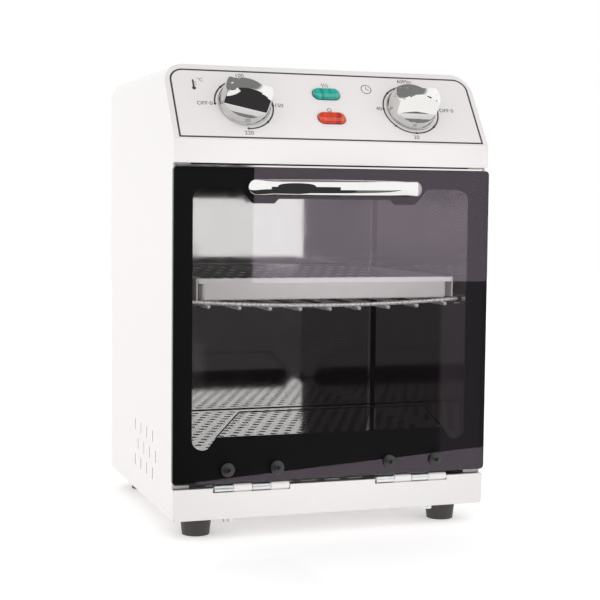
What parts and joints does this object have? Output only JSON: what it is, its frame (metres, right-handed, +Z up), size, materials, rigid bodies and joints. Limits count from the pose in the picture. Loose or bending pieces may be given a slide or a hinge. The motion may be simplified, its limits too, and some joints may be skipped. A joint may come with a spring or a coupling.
{
  "type": "benchtop dry-heat oven",
  "caption": "Small white benchtop dry-heat oven with a sloped control panel, two dials, a bottom-hinged dark glass door, and a tray on a wire rack in a polished steel chamber.",
  "frame": {"origin": "middle of the bounding box's underside, on the plane that the rubber feet stand on", "axes": "+X to the right as seen from the door, +Y to the back of the oven, +Z up"},
  "size_m": [0.242, 0.248, 0.3394],
  "materials": {
    "white_enamel": "gloss enamel",
    "zinc_plated_steel": "zinc plated",
    "polished_stainless": "mirror polished",
    "dark_steel": "blackened",
    "chrome_plate": "polished",
    "dark_glass": "smoked, black print on the back",
    "black_silicone": "matt",
    "foot_rubber": "matt",
    "mineral_wool": "felted",
    "copper": "bright",
    "green_lens": "clear green",
    "red_lens": "clear red-orange",
    "black_plastic": "matt",
    "ceramic": "matt"
  },
  "bodies": {
    "cabinet": {"outer_cover": "white_enamel", "control_fascia": "white_enamel", "base_pan": "white_enamel", "rear_panel": "white_enamel", "control_shelf": "zinc_plated_steel", "chamber_liner": "polished_stainless", "floor_plate": "polished_stainless", "rack_ledges": "polished_stainless", "insulation_jacket": "mineral_wool", "hinge_base_leaves": "white_enamel", "hinge_base_screws": "zinc_plated_steel", "door_seal": "black_silicone", "catch_magnet": "dark_steel", "thermostat": "zinc_plated_steel", "sensing_bulb": "copper", "timer": "zinc_plated_steel", "timer_bell": "zinc_plated_steel", "control_screws": "zinc_plated_steel", "run_lamp_lens": "green_lens", "power_lamp_lens": "red_lens", "lamp_housings": "black_plastic", "heating_element": "dark_steel", "heater_bushings": "ceramic", "overheat_cutout": "ceramic", "terminal_block": "ceramic", "cable_gland": "black_plastic", "rear_panel_screws": "zinc_plated_steel", "rubber_feet": "foot_rubber", "foot_screws": "zinc_plated_steel"},
    "door": {"door_glass": "dark_glass", "door_handle": "chrome_plate", "handle_screws": "zinc_plated_steel", "hinge_door_leaves": "zinc_plated_steel", "hinge_pins": "dark_steel", "door_screws": "dark_steel", "catch_plate": "zinc_plated_steel"},
    "temperature_dial": {"temperature_knob": "chrome_plate", "thermostat_shaft": "zinc_plated_steel"},
    "timer_dial": {"timer_knob": "chrome_plate", "timer_shaft": "zinc_plated_steel"},
    "rack": {"wire_rack": "polished_stainless"},
    "tray": {"instrument_tray": "polished_stainless"},
    "insert": {"tray_insert": "polished_stainless"}
  },
  "joints": [
    {"name": "door_hinge", "type": "hinge", "parent": "cabinet", "child": "door", "pos_m": [0, -0.09855, 0.0372], "axis": [1, 0, 0], "range_deg": [0, 92]},
    {"name": "temperature_turn", "type": "hinge", "parent": "cabinet", "child": "temperature_dial", "pos_m": [-0.0647, -0.08161, 0.31049], "axis": [0, 0.8183, -0.5748], "range_deg": [-15, 255]},
    {"name": "timer_turn", "type": "hinge", "parent": "cabinet", "child": "timer_dial", "pos_m": [0.0647, -0.08161, 0.31049], "axis": [0, 0.8183, -0.5748], "range_deg": [0, 270]},
    {"name": "rack_slide", "type": "slide", "parent": "cabinet", "child": "rack", "axis": [0, -1, 0], "range_m": [0, 0.08]},
    {"name": "tray_lift", "type": "slide", "parent": "rack", "child": "tray", "axis": [0, 0, 1], "range_m": [0, 0.04]},
    {"name": "insert_lift", "type": "slide", "parent": "tray", "child": "insert", "axis": [0, 0, 1], "range_m": [0, 0.015]}
  ],
  "couplings": [
    {"joint": "rack_slide", "follows": "door_hinge", "m_per_rad": 0.0498}
  ]
}
